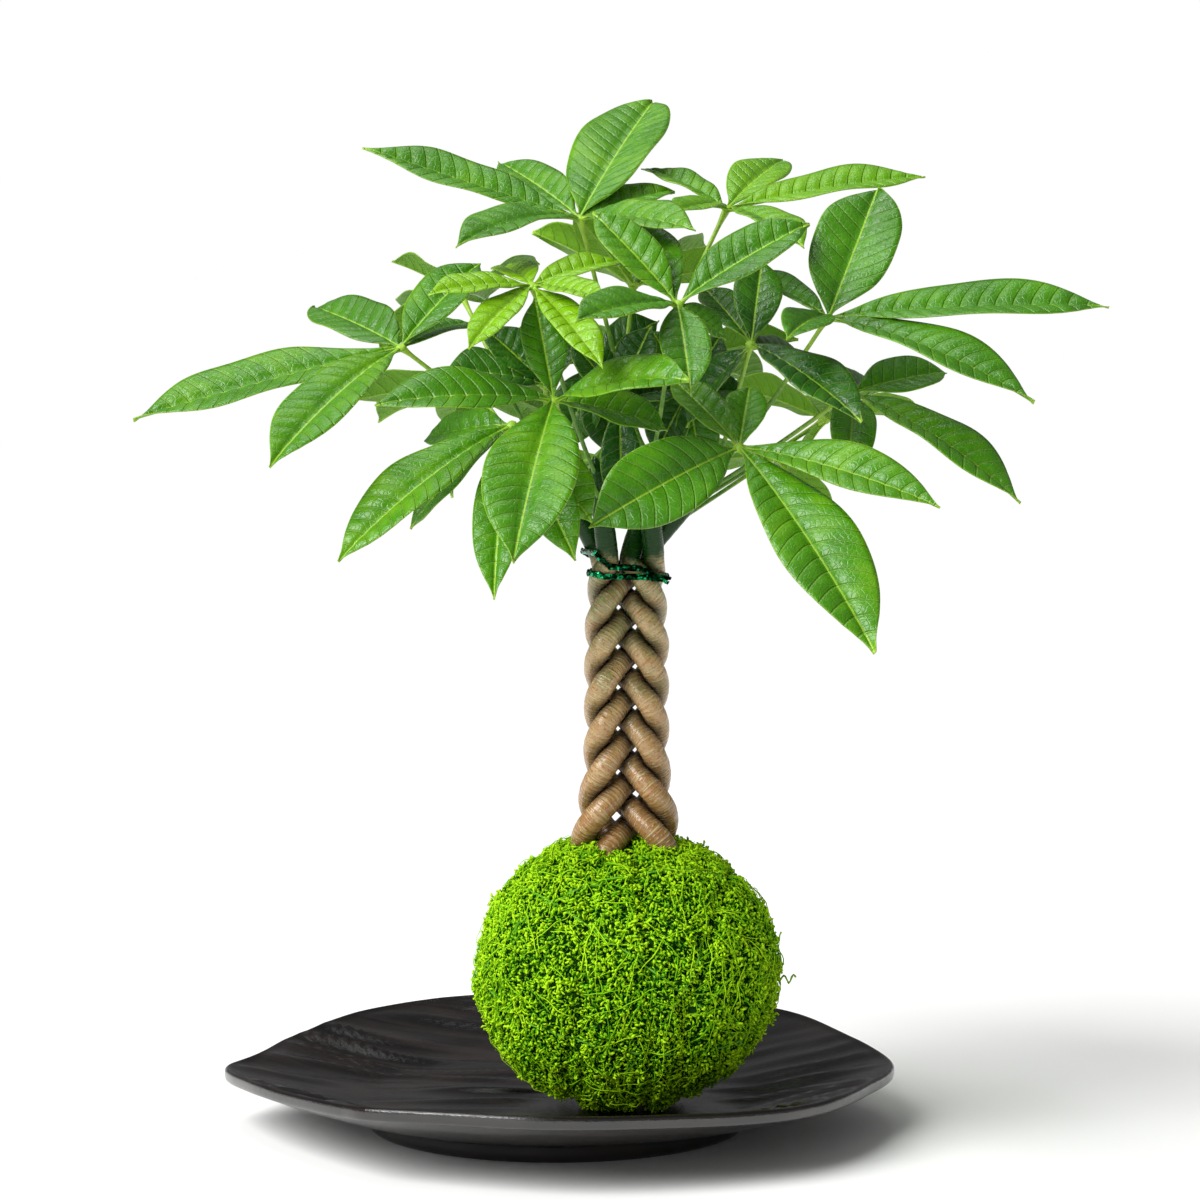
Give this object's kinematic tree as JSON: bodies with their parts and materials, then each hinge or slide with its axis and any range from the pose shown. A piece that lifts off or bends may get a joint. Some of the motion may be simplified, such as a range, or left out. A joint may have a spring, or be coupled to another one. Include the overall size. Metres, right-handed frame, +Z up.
{
  "type": "potted money tree",
  "caption": "Small money tree with a braided trunk and palmate leaves, rooted in a moss-wrapped soil ball that stands on a shallow footed black tray",
  "frame": {"origin": "middle of the flat underside of the tray's foot, on the surface that the tray stands on", "axes": "+Z up along the trunk, +X to the right and +Y away from the viewer when the plant is seen from the front"},
  "size_m": [0.3612, 0.3034, 0.4048],
  "materials": {
    "glazed_tray": "satin",
    "soil": "matte",
    "moss": "matte",
    "thread": "matte",
    "bark": "satin",
    "tie_wire": "gloss",
    "leaf": "satin",
    "young_leaf": "satin"
  },
  "bodies": {
    "root": {"tray": "glazed_tray", "soil_ball": "soil", "moss_cover": "moss", "binding_thread": "thread", "stem_1": "bark", "stem_2": "bark", "stem_3": "bark", "stem_4": "bark", "stem_5": "bark", "wire_tie": "tie_wire", "leaf_left": "leaf", "leaf_young": "young_leaf", "leaf_top_left": "leaf", "leaf_top_right": "leaf", "leaf_right": "leaf", "leaf_centre": "leaf", "leaf_dark": "leaf", "leaf_front": "leaf", "leaf_low_left": "leaf", "leaf_low_front": "leaf", "leaf_low_right": "leaf", "leaf_inner_left": "leaf", "leaf_inner": "leaf", "leaf_inner_right": "leaf", "leaf_inner_back": "leaf", "leaf_pale_right": "young_leaf", "leaf_pale_back": "young_leaf", "leaf_back_left": "leaf", "leaf_rear_low_left": "leaf", "leaf_rear": "leaf", "leaf_rear_right": "leaf", "leaf_rear_low": "leaf"}
  },
  "joints": []
}
